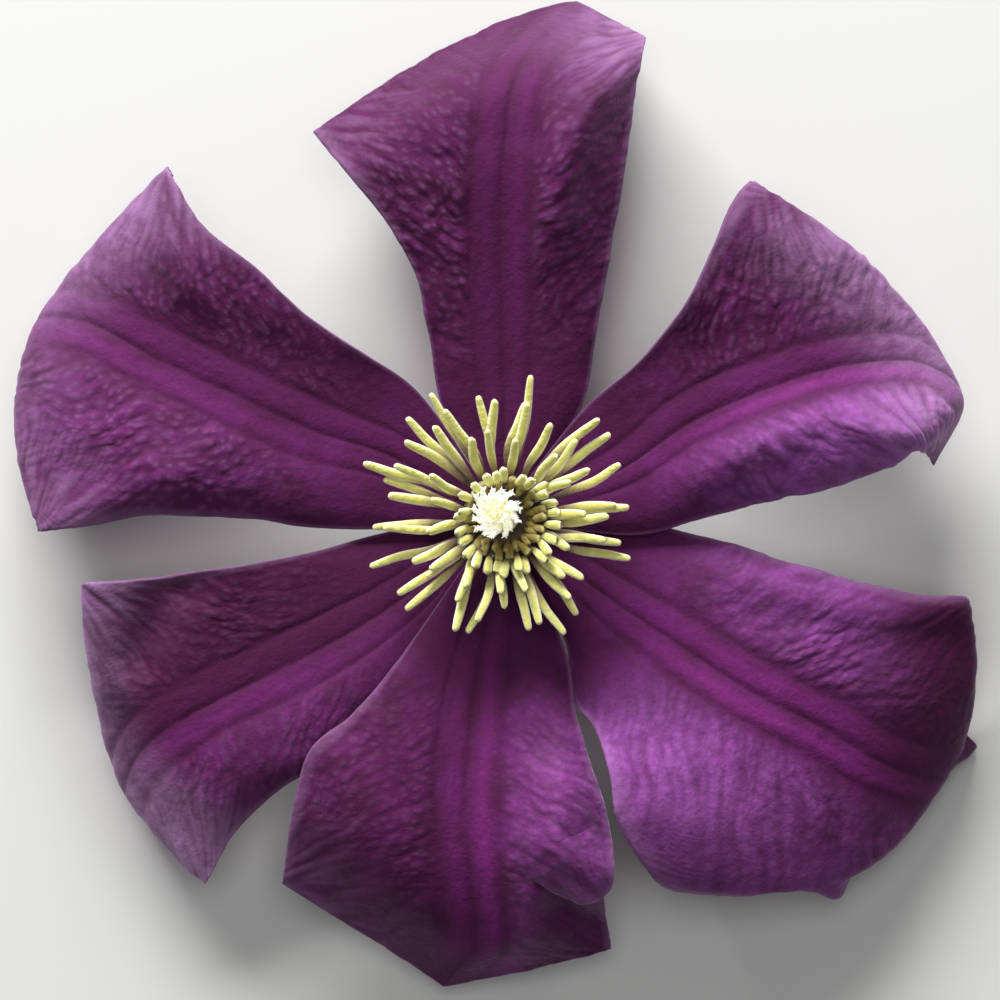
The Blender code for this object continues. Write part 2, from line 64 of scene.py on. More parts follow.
# The same guide curves as the solids have: (left) (middle) (right), rise of the left and the right lobe.
TEPALS = {
    "tepal_top": dict(
        az=88, full=(1.42, 1.1), ribs=(3.0, 2.8), teeth=(),
        folds=((2.1, 1.9, ((19.0, -3.0), (33.0, -4.4), (39.0, -6.8), (45.6, -11.6))),),
        stations=(
            ((3.35, 2.3, 8.6), (3.86, 0.0, 8.6), (3.35, -2.3, 8.6), 0.0, 0.0),
            ((10.5, 6.2, 9.3), (11.0, 0.2, 9.6), (11.0, -7.1, 9.2), 0.2, 0.3),
            ((17.6, 7.6, 10.3), (19.0, 0.6, 11.0), (18.5, -8.2, 10.0), 0.5, 0.6),
            ((22.8, 9.1, 11.6), (27.0, 1.1, 12.6), (26.0, -9.3, 10.6), 0.6, 0.8),
            ((27.9, 12.2, 12.6), (35.0, 1.0, 13.8), (33.5, -10.3, 10.8), 0.6, 0.8),
            ((31.9, 15.7, 12.4), (42.5, -0.1, 11.8), (40.0, -10.9, 9.6), 0.9, 0.8),
            ((36.0, 19.3, 9.8), (50.0, -5.4, 0.08), (46.2, -12.0, 7.0), 0.2, 0.2))),
    "tepal_upper_right": dict(
        az=24, full=(2.0, 1.5), ribs=(3.0, 2.2), teeth=(),
        folds=((2.1, 1.4, ((12.0, -4.4), (25.0, -3.2), (31.0, -3.4), (34.8, -5.6), (38.2, -9.2))),),
        stations=(
            ((3.35, 2.3, 10.0), (3.86, 0.0, 10.0), (3.35, -2.3, 10.0), 0.0, 0.0),
            ((11.1, 6.3, 11.2), (12.0, -0.4, 11.0), (11.0, -6.6, 10.6), 0.0, 0.3),
            ((17.5, 8.2, 12.8), (20.0, 1.0, 12.2), (17.8, -7.7, 11.4), -0.2, 1.0),
            ((22.8, 10.8, 14.2), (28.0, 1.0, 12.9), (24.5, -8.8, 12.0), -0.4, 1.9),
            ((27.5, 14.4, 15.0), (35.5, 0.0, 12.4), (31.0, -10.1, 12.2), 0.0, 2.6),
            ((31.4, 18.1, 14.6), (42.0, -2.6, 10.8), (36.0, -10.4, 12.0), 0.8, 2.4),
            ((34.2, 19.5, 13.0), (44.6, -7.4, 7.6), (38.4, -9.9, 11.2), 1.0, 1.8),
            ((35.2, 18.4, 10.4), (40.0, -12.2, 2.4), (38.8, -9.7, 8.6), 0.4, 0.2))),
    "tepal_lower_right": dict(
        az=-33, full=(1.75, 3.4), ribs=(3.0, 3.0),
        teeth=((-0.72, (1.4, -1.2), 0.035), (-0.80, (-2.3, 0.3), 0.045), (0.14, (1.5, 0.3), 0.045)),
        folds=((2.4, 1.6, ((15.0, 5.6), (29.0, 10.6), (36.0, 13.0), (40.2, 16.4))),),
        stations=(
            ((3.35, 2.3, 8.6), (3.86, 0.0, 8.6), (3.35, -2.3, 8.6), 0.0, 0.0),
            ((11.5, 6.8, 8.9), (12.0, -0.9, 9.6), (11.3, -6.5, 9.2), 0.3, 0.3),
            ((17.0, 8.8, 9.0), (20.0, -1.0, 10.8), (14.6, -10.6, 10.2), 0.6, 0.8),
            ((23.5, 10.8, 9.0), (28.0, -1.0, 11.6), (18.3, -12.1, 12.0), 1.0, 0.6),
            ((30.0, 12.7, 9.0), (36.0, -0.2, 11.2), (21.7, -14.9, 13.4), 1.1, 0.3),
            ((36.0, 14.9, 8.8), (43.5, 0.2, 9.0), (25.0, -18.4, 13.4), 1.0, 0.5),
            ((40.8, 17.6, 8.0), (48.8, 2.2, 4.6), (30.5, -20.8, 11.2), 0.6, 0.6),
            ((41.4, 16.6, 6.0), (49.0, 4.6, 0.0), (33.0, -20.9, 8.4), 0.2, 0.3))),
    "tepal_bottom": dict(
        az=-96, full=(1.05, 0.95), ribs=(3.0, 3.0), teeth=(),
        folds=((2.6, 1.9, ((20.0, 8.0), (30.0, 7.8), (32.6, 12.2))),
               (1.9, -3.2, ((35.2, 6.4), (36.3, 9.6), (37.8, 15.0)))),
        stations=(
            ((3.35, 2.3, 10.0), (3.86, 0.0, 10.0), (3.35, -2.3, 10.0), 0.0, 0.0),
            ((12.0, 7.2, 11.0), (12.0, -0.6, 11.0), (11.4, -6.7, 10.8), 0.4, 0.3),
            ((18.0, 8.8, 12.0), (20.0, -0.9, 12.2), (15.5, -9.1, 11.8), 1.0, 0.7),
            ((23.5, 11.2, 12.8), (28.0, -0.6, 12.8), (19.8, -12.1, 12.4), 1.8, 1.0),
            ((29.0, 13.4, 13.0), (34.5, 0.6, 12.0), (23.8, -15.8, 12.6), 2.2, 1.2),
            ((34.5, 13.3, 11.4), (40.5, 1.6, 9.0), (29.8, -16.9, 11.4), 1.6, 1.0),
            ((40.0, 14.6, 6.0), (45.3, -1.0, 3.0), (36.8, -17.3, 8.6), 0.3, 0.2))),
    "tepal_lower_left": dict(
        az=213, full=(1.5, 1.25), ribs=(3.0, 3.0), teeth=((-1.0, (0.4, -0.5), 0.06),),
        folds=((1.7, 1.0, ((41.4, -3.0), (40.2, -7.0), (38.2, -11.2), (36.8, -15.6))),
               (2.6, -1.2, ((25.0, -9.5), (31.0, -12.0), (36.0, -8.0)))),
        stations=(
            ((3.35, 2.3, 8.6), (3.86, 0.0, 8.6), (3.35, -2.3, 8.6), 0.0, 0.0),
            ((11.0, 6.5, 9.2), (12.0, 1.2, 9.6), (11.0, -5.2, 9.2), 0.2, 0.3),
            ((18.0, 8.3, 9.8), (20.0, 1.1, 10.6), (16.5, -7.0, 10.8), 0.6, 0.2),
            ((24.5, 9.9, 10.2), (28.0, 0.2, 11.2), (22.0, -9.2, 12.0), 0.9, 0.1),
            ((31.0, 10.0, 10.0), (35.5, -0.5, 10.6), (27.8, -11.9, 12.8), 1.2, 0.0),
            ((37.5, 11.1, 8.8), (41.2, 0.0, 8.4), (33.0, -14.4, 12.4), 1.0, 0.2),
            ((42.6, 13.7, 6.4), (44.7, 2.6, 4.4), (36.7, -16.5, 10.4), 0.4, 0.3),
            ((42.9, 13.4, 4.6), (43.2, 4.4, 0.0), (36.7, -15.8, 8.4), 0.1, 0.1))),
    "tepal_upper_left": dict(
        az=154.5, full=(2.2, 1.1), ribs=(3.0, 3.0), teeth=((-0.90, (-0.5, 0.0), 0.07),),
        folds=((1.8, 1.6, ((31.0, -5.2), (36.0, -7.0), (39.5, -10.3), (42.4, -15.2))),
               (2.6, 1.4, ((25.0, 6.0), (38.0, 18.5)))),
        stations=(
            ((3.35, 2.3, 10.0), (3.86, 0.0, 10.0), (3.35, -2.3, 10.0), 0.0, 0.0),
            ((11.0, 6.4, 10.6), (12.0, -0.7, 11.0), (12.1, -7.2, 11.4), 0.3, 0.0),
            ((17.0, 8.9, 11.2), (20.0, 0.3, 12.0), (18.0, -8.3, 13.0), 0.9, -0.2),
            ((22.6, 10.7, 11.8), (28.0, 0.4, 12.6), (25.0, -9.3, 14.2), 1.6, -0.2),
            ((28.2, 13.0, 12.0), (36.0, 0.5, 12.2), (31.2, -11.3, 14.4), 2.0, 0.2),
            ((33.6, 16.4, 11.4), (43.6, 0.2, 10.0), (37.6, -12.8, 13.0), 1.8, 0.4),
            ((38.8, 19.9, 9.6), (48.2, 2.0, 6.0), (42.9, -16.2, 10.4), 0.6, 0.4),
            ((38.6, 18.8, 7.0), (45.6, 4.0, 1.8), (42.4, -15.9, 9.0), 0.1, 0.1))),
}

# By tepal, for its left and its right lobe: quilt, how quilted it is; light, how much painted light it has;
# then how much painted shade darkens it; end, how much painted sheen makes its end pale (below 0: how much
# painted shade makes it dark).  Then furrows, their angle to the ribs in degrees; start, the u where the end
# begins;
# margin, how much of the end's painted sheen and shade is lost at the side margins; and pinches, the lines of
# its sharp creases through places out, across.
SURFACE = {
    "tepal_top": dict(
        quilt=(1.2, 0.9), light=(0.0, 0.05), painted_shade=(0.62, 0.58), end=(0.0, 0.40),
        furrows=50, start=0.78, margin=0.0, pinches=()),
    "tepal_upper_right": dict(
        quilt=(1.0, 1.5), light=(0.0, 0.94), painted_shade=(0.50, 0.0), end=(0.70, 0.45),
        furrows=56, start=0.52, margin=0.9, pinches=()),
    "tepal_lower_right": dict(
        quilt=(0.9, 0.6), light=(0.45, 0.80), painted_shade=(0.0, 0.0), end=(-1.0, -0.40),
        furrows=58, start=0.52, margin=0.0, pinches=()),
    "tepal_bottom": dict(
        quilt=(0.8, 0.6), light=(0.38, 0.0), painted_shade=(0.0, 0.45), end=(-0.20, 0.15),
        furrows=66, start=0.80, margin=0.0, pinches=()),
    "tepal_lower_left": dict(
        quilt=(0.6, 0.6), light=(0.10, 0.0), painted_shade=(0.25, 1.00), end=(1.0, 0.55),
        furrows=42, start=0.61, margin=0.0,
        pinches=(((36.9, -16.0), (35.9, -12.6), (34.6, -9.0)),)),
    "tepal_upper_left": dict(
        quilt=(1.1, 0.9), light=(0.10, 0.0), painted_shade=(0.30, 0.60), end=(0.22, 0.50),
        furrows=40, start=0.62, margin=0.0,
        pinches=(((42.7, -15.3), (40.9, -13.0), (38.3, -10.2), (35.6, -7.6)),)),
}
# The end's colour is painted sheen, and painted shade where the tepal's number is below 0
END_RUN = 0.26              # length in u over which the end's colour sets in

# Edge of the bottom tepal's curled lobe: places across, and how far out it lies there
CURL_ACROSS = (7.0, 9.2, 11.0, 12.4, 13.2, 13.9)
CURL_OUT = (33.5, 34.5, 34.9, 34.5, 33.6, 31.9)

# Heights and depths of the fine relief
GROOVE_DEPTH = 0.15
STRIP_RISE = 0.055
CELL_HEIGHT = 0.14          # of the quilting's small pads
FURROW_HEIGHT = 0.12        # of the ridges along its furrows
SWELL_HEIGHT = 0.20         # of its broad swells
CELL_FLOOR = 0.16           # rounds the bottom of the creases between the pads
# The painted shade in the creases between the pads is CREASE_WIDTH wide
CREASE_WIDTH = 0.05         # in the noise that the pads are made of, like the floor
PLEAT_HEIGHT = 0.14
MIDDLE_HEIGHT = 0.035       # of the fine grain between the outer grooves
MARGIN_HEIGHT = 0.40        # of the long soft waves of the side margins
CURL_RISE = 0.45
TUCK_DEPTH = 0.35
PINCH_DEPTH = 0.30
PINCH_WIDTH = 0.42

# The blade's mesh, and its thickness, which is less at the side margins and at the end
MESH_ROWS = 248
MESH_COLUMNS = 196
UNDER_STEP = 2              # rows and columns of the upper face to one of the lower
BLADE = 0.50
MARGIN_THINS = 0.22
END_THINS = 0.08

# Velvet: DARK is its darkest colour and its painted shade; lilac is painted light, mauve painted sheen
DARK = (0.058, 0.0055, 0.040)
VIOLET = (0.120, 0.0120, 0.110)
MAGENTA = (0.215, 0.021, 0.195)
PAINTED_LIGHT_LILAC = (0.330, 0.085, 0.385)
PAINTED_SHEEN_MAUVE = (0.430, 0.230, 0.460)
UNDERSIDE = (0.200, 0.080, 0.180)
VELVET_SHEEN = (0.90, 0.62, 0.92)
PEBBLE_SIZE = (0.80, 1.25)  # of the velvet's small domes, across and along the furrows

# Stamens
ANTHER_FACE = (0.60, 0.59, 0.12)
ANTHER_EDGE = (1.0, 0.97, 0.74)
ANTHER_DEEP = (0.66, 0.62, 0.16)
ANTHER_TIP = (0.95, 0.88, 0.58)
POLLEN = (0.92, 0.88, 0.50)
FILAMENT_FOOT = (0.050, 0.012, 0.036)
FILAMENT_TOP = (0.45, 0.34, 0.20)
SHORT_FOOT = (0.07, 0.020, 0.030)
OLIVE_SHADE = (0.16, 0.105, 0.006)
RING_DARK = (0.05, 0.02, 0.035)
RING_PALE = (0.16, 0.11, 0.06)

# Styles, and the painted light, a faint glow, that stands in for the light their silky hairs scatter among
# themselves
STYLE_FOOT = (0.72, 0.74, 0.28)
STYLE_WHITE = (0.985, 0.98, 0.88)
STYLE_CREAM = (0.96, 0.94, 0.60)
STYLE_HEART = (0.90, 0.88, 0.36)
STYLE_PAINTED_GLOW = (1.0, 0.98, 0.80)

# Stalk and studio
STALK_GREEN = (0.10, 0.13, 0.035)
STALK_RED = (0.17, 0.075, 0.07)
STALK_CUT = (0.45, 0.52, 0.25)
FLOOR_PALE = (0.70, 0.70, 0.68)
SKY = (0.95, 0.95, 1.0)

# By whorl: how many, tip radius and its spread, tip height and its spread, root radius, first azimuth,
# arc and jitter in degrees, half width of the anther, share of the lean
STAMEN_WHORLS = (
    (22, 12.1, 1.4, 16.6, 0.6, 2.95, 4.0, 360.0, 5.0, 0.42, 0.9),
    (22, 9.9, 1.2, 17.6, 0.5, 2.75, 11.0, 360.0, 5.0, 0.43, 0.9),
    (15, 7.5, 0.9, 18.0, 0.4, 2.75, 2.0, 360.0, 7.0, 0.43, 0.5),
    (26, 4.4, 0.35, 18.1, 0.6, 2.92, 8.0, 360.0, 4.0, 0.37, -0.7),
    (18, 3.35, 0.2, 17.3, 0.3, 2.35, 0.0, 360.0, 5.0, 0.36, -0.3),
    (9, 2.5, 0.15, 16.5, 0.3, 2.2, -125.0, 180.0, 5.0, 0.34, -0.5),
)
STAMEN_SEED = 11
LONG_WHORLS = 3             # the first ones, which spread; the others stand round the tuft
INNER_WHORLS = 2            # the last ones, whose anthers are painted dark olive, as shade under the tuft
STAMEN_SIDES = 12
STAMEN_RINGS = 20
PATH_POINTS = 40            # of the even path that a stamen's rings are read from
RING_STEPS = 48

STYLE_SEED = 5
STYLE_RINGS = ((15, 2.32, 19.3), (9, 1.4, 19.8), (4, 0.5, 20.0))      # how many, tip radius, tip height
STYLE_FOOT_Z = 14.9
STYLE_TURN = 26.0           # degrees that a style turns round the axis on its way out
STYLE_POINTS = 12
STYLE_SIDES = 8
HAIRS = 60                  # on each style
HAIR_RADII = (0.075, 0.070, 0.050, 0.014)
HAIR_SIDES = 4
DOME_STEPS = 28

# The stalk's middle line, from the receptacle's top to the cut, and its radii
STALK_PATH = (
    (0.0, 0.0, RECEPTACLE_TOP), (0.0, 0.0, 12.0), (0.0, 0.0, 10.2), (0.0, 0.0, 8.1),
    (0.05, -0.2, 7.2), (0.2, -0.7, 6.4), (0.5, -1.7, 5.2), (1.0, -3.3, 4.1), (1.7, -5.4, 3.2),
    (2.6, -7.9, 2.5), (3.6, -10.6, 2.0), (4.6, -13.2, 1.75), (5.5, -15.6, 1.7))
STALK_RADII = ((RECEPTACLE_R - 0.3, RECEPTACLE_R, RECEPTACLE_R, RECEPTACLE_R)
               + (2.5, 1.7, 1.3, 1.1) + (STALK_R,) * 5)
STALK_RINGS = 120
STALK_SIDES = 48

FINE_STEPS = 40             # points that smooth_path first lays along its curve, for each one given

# Studio, in metres: the area lights' places, sizes and power in watts, the place that they face, and the
# camera, which looks straight down and sees VIEW_WIDTH at VIEW_DISTANCE
LAMPS = {
    "key": ((-0.16, 0.68, 0.35), (0.55, 0.30), 12.5),
    "top": ((0.0, 0.1, 0.85), (0.5, 0.5), 2.0),
}
LAMP_TARGET = (0.0, 0.0, 0.01)
SKY_STRENGTH = 0.12
FLOOR_HALF = 3.0
CAMERA_PLACE = (0.00035, -0.00072, 0.560)
VIEW_WIDTH = 0.095
VIEW_DISTANCE = 0.550
SENSOR_WIDTH = 36.0         # mm


# ------------------------------------------------------------------ numbers
def step_up(x, low, high):
    t = np.clip((x - low) / (high - low), 0.0, 1.0)
    return t * t * (3.0 - 2.0 * t)


def bell(x, width):
    """1 where x is 0, falling off smoothly on both sides."""
    return np.exp(-(x / width) ** 2)


def noise2(x, y, seed):
    """Smooth gradient noise of two coordinates, about -1..1."""
    rng = np.random.RandomState(seed)
    turn = rng.uniform(0, 2 * math.pi, (256,))
    order = rng.permutation(256)
    x, y = np.asarray(x, float), np.asarray(y, float)
    xi, yi = np.floor(x).astype(int), np.floor(y).astype(int)
    fx, fy = x - xi, y - yi

    def corner(i, j):
        a = turn[order[(order[(xi + i) & 255] + yi + j) & 255]]
        return np.cos(a) * (fx - i) + np.sin(a) * (fy - j)

    sx = fx * fx * fx * (fx * (fx * 6 - 15) + 10)
    sy = fy * fy * fy * (fy * (fy * 6 - 15) + 10)
    low = corner(0, 0) * (1 - sx) + corner(1, 0) * sx
    high = corner(0, 1) * (1 - sx) + corner(1, 1) * sx
    return (low * (1 - sy) + high * sy) * 1.5


def along_stations(values, t):
    """Smooth curve through the rows of values, read at t (counted in stations)."""
    n = len(values)
    ends = np.vstack([2 * values[0] - values[1], values, 2 * values[-1] - values[-2]])
    i = np.clip(np.floor(t).astype(int), 0, n - 2)
    f = (t - i)[..., None]
    p0, p1, p2, p3 = ends[i], ends[i + 1], ends[i + 2], ends[i + 3]
    return p1 + 0.5 * f * (p2 - p0 + f * (2 * p0 - 5 * p1 + 4 * p2 - p3 + f * (3 * (p1 - p2) + p3 - p0)))


def read_along(points, at, places):
    """The points' line read at the places, where `at` gives the place of each point."""
    return np.stack([np.interp(places, at, points[:, k]) for k in range(3)], -1)


def smooth_path(points, count):
    """Points at even distances along a smooth curve through the given ones."""
    p = np.array(points, float)
    fine = along_stations(p, np.linspace(0, len(p) - 1, FINE_STEPS * len(p)))
    run = np.concatenate([[0.0], np.cumsum(np.linalg.norm(np.diff(fine, axis=0), axis=1))])
    return read_along(fine, run, np.linspace(0, run[-1], count))


def directions(path):
    """The way the path runs at each of its points, as unit vectors."""
    tangent = np.gradient(path, axis=0)
    return tangent / np.linalg.norm(tangent, axis=1, keepdims=True)


def nearest_on(line, out, across):
    """Distance from the places out, across to a line, and how far along it (0..1) the nearest point is."""
    gap = np.full(np.shape(out), np.inf)
    run = np.zeros(np.shape(out))
    done = 0.0
    for (a0, c0), (a1, c1) in zip(line, line[1:]):
        length = math.hypot(a1 - a0, c1 - c0)
        t = np.clip(((out - a0) * (a1 - a0) + (across - c0) * (c1 - c0)) / length ** 2, 0.0, 1.0)
        away = np.hypot(out - a0 - t * (a1 - a0), across - c0 - t * (c1 - c0))
        run = np.where(away < gap, done + t * length, run)
        gap = np.minimum(gap, away)
        done += length
    return gap, run / done


def polar(r, degrees, z):
    a = math.radians(degrees)
    return (r * math.cos(a), r * math.sin(a), z)


def leant(r, degrees, z, share=1.0):
    """A place in the flower's heart, which leans a little to one side."""
    x, y, z = polar(r, degrees, z)
    rise = share * (z - RING_Z[0])
    return (x + LEAN[0] * rise, y + LEAN[1] * rise, z)


# ------------------------------------------------------------------- meshes
def add_piece(name, points, faces, fields, mat, node, slot):
    """A smooth piece from points about the flower's axis, with the fields that its shader reads."""
    mesh = bpy.data.meshes.new(name)
    mesh.from_pydata(((points + np.array([AXIS[0], AXIS[1], 0.0])) * MM).tolist(), [], faces)
    for key, values in fields.items():
        data = mesh.attributes.new(key, "FLOAT", "POINT").data
        data.foreach_set("value", values.astype(np.float32))
    mesh.shade_smooth()
    mesh.materials.append(mat)
    obj = bpy.data.objects.new(name, mesh)
    bpy.context.scene.collection.objects.link(obj)
    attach(obj, "root")
    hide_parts(node)


def gathered(parts):
    """One set of points, faces and fields from those of many parts."""
    faces = []
    offset = 0
    for points, part_faces, _ in parts:
        faces.extend(tuple(i + offset for i in face) for face in part_faces)
        offset += len(points)
    fields = {key: np.concatenate([part[2][key] for part in parts]) for key in parts[0][2]}
    return np.concatenate([part[0] for part in parts]), faces, fields


def tube(path, widths, thicks, up, sides, shape=None):
    """A closed lofted strand: rings across the path, `up` the way its flat side faces, and `shape` the share
    of its radius that a ring has at each angle.

    Returns points, faces, and for each point its place along (0..1) and around (radians)."""
    tangent = directions(path)
    sideways = np.cross(tangent, up)
    sideways /= np.maximum(np.linalg.norm(sideways, axis=1, keepdims=True), 1e-9)
    facing = np.cross(sideways, tangent)
    angle = np.arange(sides) * 2 * math.pi / sides
    share = np.ones(sides) if shape is None else shape(angle)
    wide = sideways[:, None, :] * (np.cos(angle) * share)[None, :, None] * widths[:, None, None]
    high = facing[:, None, :] * (np.sin(angle) * share)[None, :, None] * thicks[:, None, None]
    rings = path[:, None, :] + wide + high
    n = len(path)
    points = np.concatenate([rings.reshape(-1, 3), path[:1], path[-1:]])
    faces = []
    for i in range(n - 1):
        for j in range(sides):
            k = (j + 1) % sides
            faces.append((i * sides + j, i * sides + k, (i + 1) * sides + k, (i + 1) * sides + j))
    for j in range(sides):
        k = (j + 1) % sides
        faces.append((k, j, n * sides))
        faces.append(((n - 1) * sides + j, (n - 1) * sides + k, n * sides + 1))
    along = np.concatenate([np.repeat(np.linspace(0, 1, n), sides), [0.0, 1.0]])
    around = np.concatenate([np.tile(angle, n), [0.0, math.pi / 2]])
    return points, faces, along, around


def turned(profile, steps):
    """Points and faces of a closed profile (radius, height) turned about the axis."""
    k = len(profile)
    points = np.array([polar(r, 360.0 * s / steps, z) for s in range(steps) for r, z in profile])
    faces = []
    for s in range(steps):
        here, ahead = s * k, ((s + 1) % steps) * k
        for j in range(k):
            above = (j + 1) % k
            faces.append((here + j, ahead + j, ahead + above, here + above))
    return points, faces


# ---------------------------------------------------------------- materials
class Nodes:
    """A material's node tree, written in a line or two."""
    def __init__(self, name):
        self.mat = bpy.data.materials.new(name)
        self.mat.use_nodes = True
        self.tree = self.mat.node_tree
        self.shader = self.tree.nodes["Principled BSDF"]

    def add(self, kind, **settings):
        node = self.tree.nodes.new(kind)
        for key, value in settings.items():
            setattr(node, key, value)
        return node

    def link(self, a, b):
        self.tree.links.new(a, b)

    def feed(self, socket, value):
        """Give a socket a number, a colour or another node's output."""
        if isinstance(value, tuple):
            socket.default_value = (*value, 1.0)
        elif isinstance(value, (int, float)):
            socket.default_value = value
        else:
            self.link(value, socket)

    def surface(self, constants):
        """Set the shader's inputs that don't change over the piece."""
        for key, value in constants.items():
            self.shader.inputs[key].default_value = value

    def attribute(self, name):
        return self.add("ShaderNodeAttribute", attribute_name=name).outputs["Fac"]

    def pebbles(self, across, along, width, length):
        """Small rounded domes, 0..1, drawn out along the furrows."""
        place = self.add("ShaderNodeCombineXYZ")
        self.link(self.math("DIVIDE", across, width), place.inputs["X"])
        self.link(self.math("DIVIDE", along, length), place.inputs["Y"])
        cells = self.add("ShaderNodeTexVoronoi", voronoi_dimensions="2D", feature="SMOOTH_F1")
        cells.inputs["Scale"].default_value = 1.0
        cells.inputs["Smoothness"].default_value = 0.8
        self.link(place.outputs["Vector"], cells.inputs["Vector"])
        return self.ranged(cells.outputs["Distance"], 0.65, 0.10)

    def noise(self, scale, detail=2.0, roughness=0.5, stretch=None):
        place = self.add("ShaderNodeTexCoord").outputs["Object"]
        if stretch is not None:
            mapping = self.add("ShaderNodeMapping")
            mapping.inputs["Scale"].default_value = stretch
            self.link(place, mapping.inputs["Vector"])
            place = mapping.outputs["Vector"]
        node = self.add("ShaderNodeTexNoise")
        for key, value in (("Scale", scale), ("Detail", detail), ("Roughness", roughness)):
            node.inputs[key].default_value = value
        self.link(place, node.inputs["Vector"])
        return node.outputs["Fac"]

    def ranged(self, value, low, high, to_low=0.0, to_high=1.0):
        """The value's range low..high drawn out to another range, and cut off past its ends."""
        node = self.add("ShaderNodeMapRange", clamp=True)
        ends = (("From Min", low), ("From Max", high), ("To Min", to_low), ("To Max", to_high))
        for key, number in ends:
            node.inputs[key].default_value = number
        self.link(value, node.inputs["Value"])
        return node.outputs["Result"]

    def math(self, operation, *values):
        node = self.add("ShaderNodeMath", operation=operation)
        for socket, value in zip(node.inputs, values):
            self.feed(socket, value)
        return node.outputs[0]

    def times(self, a, b):
        return self.math("MULTIPLY", a, b)

    def mix(self, amount, a, b):
        node = self.add("ShaderNodeMix", data_type="RGBA")
        sockets = {socket.identifier: socket for socket in node.inputs}
        for key, value in (("Factor_Float", amount), ("A_Color", a), ("B_Color", b)):
            self.feed(sockets[key], value)
        return {socket.identifier: socket for socket in node.outputs}["Result_Color"]

    def paint(self, color, layers):
        """Lay colours over the first one, each with its amount, and give the result to the shader."""
        for amount, layer in layers:
            color = self.mix(amount, color, layer)
        self.link(color, self.shader.inputs["Base Color"])

    def bump(self, height, strength, distance):
        node = self.add("ShaderNodeBump")
        node.inputs["Strength"].default_value = strength
        node.inputs["Distance"].default_value = distance
        self.link(height, node.inputs["Height"])
        self.link(node.outputs["Normal"], self.shader.inputs["Normal"])


def velvet(name):
    """A tepal's material.  Its colours, some painted light and shade, lie over each other in the layers'
    order.
    """
    m = Nodes(name + "_velvet")
    side = m.math("ABSOLUTE", m.attribute("side"))
    along, end, streak = m.attribute("along"), m.attribute("end"), m.attribute("streak")
    quilted = m.attribute("pebbles")
    pebble = m.pebbles(m.attribute("across_furrows"), m.attribute("along_furrows"), *PEBBLE_SIZE)
    grain = m.noise(600.0, 3.0, 0.6)
    speckle = m.noise(2000.0, 3.0, 0.7)
    m.paint(DARK, (
        (m.ranged(m.noise(230.0, 3.0, 0.6), 0.36, 0.66), VIOLET),
        (m.times(m.attribute("strip"), m.ranged(along, 0.1, 0.75, 0.25, 0.55)), MAGENTA),
        (m.ranged(streak, 0.35, 0.9, 0.0, 0.30), MAGENTA),
        # painted light: a lighter lilac on the lobes, along their furrows
        (m.times(m.attribute("light"), m.ranged(streak, 0.1, 0.8, 0.5, 1.0)), PAINTED_LIGHT_LILAC),
        # painted shade over the lobes, always at half strength at the claw
        (m.attribute("painted_shade"), DARK),
        (m.ranged(speckle, 0.42, 0.66, 0.0, 0.30), DARK),
        # painted highlight on the pleats' ridges near the end's corners
        (m.times(m.attribute("painted_pleat_highlight"), m.ranged(end, -0.2, 0.6, 0.05, 0.50)), PAINTED_SHEEN_MAUVE),
        # painted highlight on the pebbles' tops
        (m.times(quilted, m.ranged(pebble, 0.5, 1.0, 0.0, 0.10)), PAINTED_SHEEN_MAUVE),
        # painted sheen that makes the end pale, broken up by the grain
        (m.times(m.ranged(end, 0.0, 1.0), m.ranged(grain, 0.35, 0.65, 0.55, 1.0)), PAINTED_SHEEN_MAUVE),
        # painted shade on the ends whose number is below 0
        (m.ranged(end, 0.0, -1.0), DARK),
        # painted shadow on the end tucked behind the curled lobe
        (m.times(m.attribute("tucked"), 0.75), DARK),
        # painted shade between the pebbles
        (m.times(quilted, m.ranged(pebble, 0.0, 0.5, 0.18, 0.0)), DARK),
        # painted shade in the creases between the quilting's pads
        (m.times(m.attribute("painted_crease_shade"), 0.16), DARK),
        # painted shade in the pleats' valleys
        (m.times(m.attribute("painted_pleat_shade"), 0.36), DARK),
        # painted shade in the rib grooves
        (m.times(m.attribute("line"), 0.35), DARK),
        # painted shade along the sharp creases
        (m.times(m.attribute("pinch"), 0.80), DARK),
        # painted sheen along the side margins
        (m.ranged(side, 0.95, 1.0, 0.0, 0.25), PAINTED_SHEEN_MAUVE),
        (m.times(m.attribute("back"), 0.85), UNDERSIDE),
    ))
    m.surface({
        "Roughness": 0.72,
        "Specular IOR Level": 0.14,
        "Sheen Weight": 0.34,
        "Sheen Roughness": 0.38,
        "Sheen Tint": (*VELVET_SHEEN, 1.0),
    })
    fine = m.math("ADD", m.times(m.noise(3200.0, 2.0, 0.6), 0.5), m.noise(1300.0, 3.0, 0.6))
    domes = m.times(m.times(pebble, quilted), 1.4)
    m.bump(m.math("ADD", fine, domes), 0.6, 0.00014)
    return m.mat


